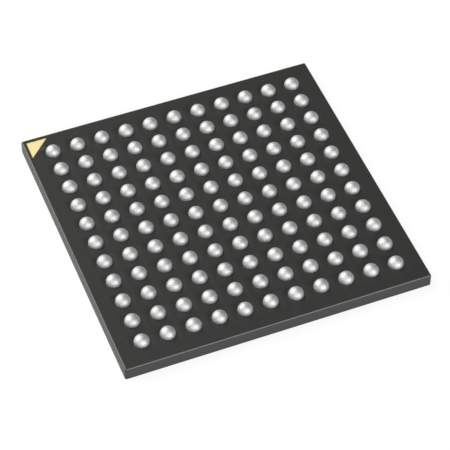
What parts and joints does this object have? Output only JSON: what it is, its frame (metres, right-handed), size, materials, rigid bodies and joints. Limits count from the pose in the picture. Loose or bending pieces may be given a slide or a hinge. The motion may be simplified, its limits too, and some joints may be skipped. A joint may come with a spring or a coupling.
{
  "type": "ball grid array chip package",
  "caption": "Thin square overmoulded chip package with a full grid of solder balls on one face, bevelled rim and a triangular gold mark at the first ball's corner.",
  "frame": {"origin": "middle of the mould cap's outer face, on which the package lies with its balls up", "axes": "+Z from the cap to the balls, +X from ball row A to the last row, +Y along a row to its first ball, so the marked corner is at -X, +Y"},
  "size_m": [0.006, 0.006, 0.0004],
  "materials": {
    "mold_compound": "satin",
    "solder_mask": "satin",
    "laminate": "matte",
    "solder": "satin",
    "gold_plating": "satin",
    "gold_wire": "polished",
    "silicon": "polished",
    "attach_film": "matte"
  },
  "bodies": {
    "root": {"ball_pads": "gold_plating", "ball_side_solder_mask": "solder_mask", "bond_fingers_back": "gold_plating", "bond_fingers_front": "gold_plating", "bond_fingers_left": "gold_plating", "bond_fingers_right": "gold_plating", "bond_wires_back": "gold_wire", "bond_wires_front": "gold_wire", "bond_wires_left": "gold_wire", "bond_wires_right": "gold_wire", "die_attach_film": "attach_film", "die_side_solder_mask": "solder_mask", "mold_cap": "mold_compound", "pin_1_mark": "gold_plating", "silicon_die": "silicon", "solder_balls_a": "solder", "solder_balls_b": "solder", "solder_balls_c": "solder", "solder_balls_d": "solder", "solder_balls_e": "solder", "solder_balls_f": "solder", "solder_balls_g": "solder", "solder_balls_h": "solder", "solder_balls_j": "solder", "solder_balls_k": "solder", "solder_balls_l": "solder", "substrate_core": "laminate"}
  },
  "joints": []
}
